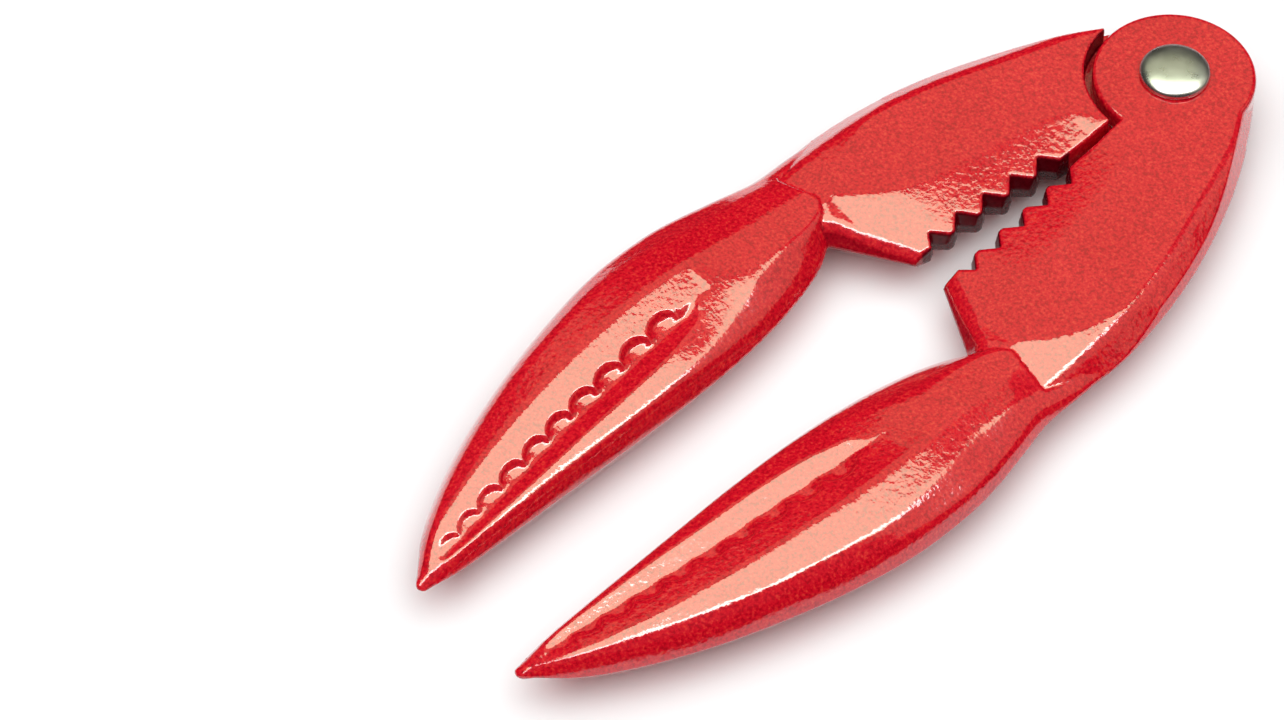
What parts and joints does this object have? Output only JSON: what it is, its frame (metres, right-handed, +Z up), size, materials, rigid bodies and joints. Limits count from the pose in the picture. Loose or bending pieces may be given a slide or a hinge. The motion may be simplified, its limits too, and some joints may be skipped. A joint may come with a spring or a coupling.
{
  "type": "lobster cracker",
  "caption": "Claw-shaped hand cracker for shellfish: mirrored enamelled arms with toothed jaws and grooved handles turn on one domed rivet.",
  "frame": {"origin": "on the pivot axis, at the flat underside of the rivet's tail, in the plane that the tool lies on", "axes": "+Z up along the rivet, towards its domed head; claw tips point along -Y; the right arm is on +X"},
  "size_m": [0.0748, 0.1704, 0.0124],
  "materials": {
    "red_enamel": "glossy baked enamel with a fine orange peel over a metal casting",
    "polished_rivet": "polished nickel-plated steel"
  },
  "bodies": {
    "right_arm": {"right_arm": "red_enamel", "pivot_rivet": "polished_rivet"},
    "left_arm": {"left_arm": "red_enamel"}
  },
  "joints": [
    {"name": "arm_pivot", "type": "hinge", "parent": "right_arm", "child": "left_arm", "pos_m": [0, 0, 0.0062], "axis": [0, 0, 1], "range_deg": [-165, 4]}
  ]
}
